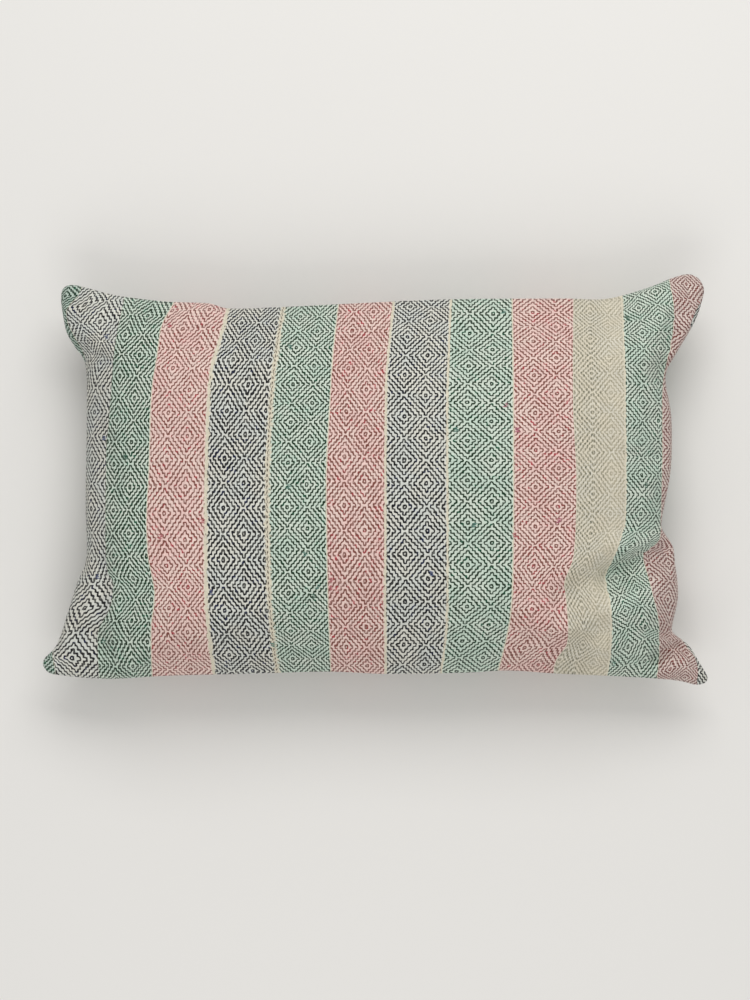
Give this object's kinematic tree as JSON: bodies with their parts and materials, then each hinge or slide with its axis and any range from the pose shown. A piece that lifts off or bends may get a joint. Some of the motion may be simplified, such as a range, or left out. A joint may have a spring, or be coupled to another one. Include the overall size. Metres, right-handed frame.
{
  "type": "kantha cushion",
  "caption": "Filled rectangular lumbar cushion with a knife-edge seam, pulled-out ears and drawn-in sides, in a striped diamond-weave cotton cover.",
  "frame": {"origin": "on the resting surface, under the middle of the cushion's box", "axes": "+X along the cushion's length, +Y towards its upper long edge, +Z out of its face"},
  "size_m": [0.5054, 0.3128, 0.1123],
  "materials": {
    "cover": "matt hand-woven cotton, striped in green, rose, indigo and beige diamonds"
  },
  "bodies": {
    "root": {"cushion": "cover"}
  },
  "joints": []
}
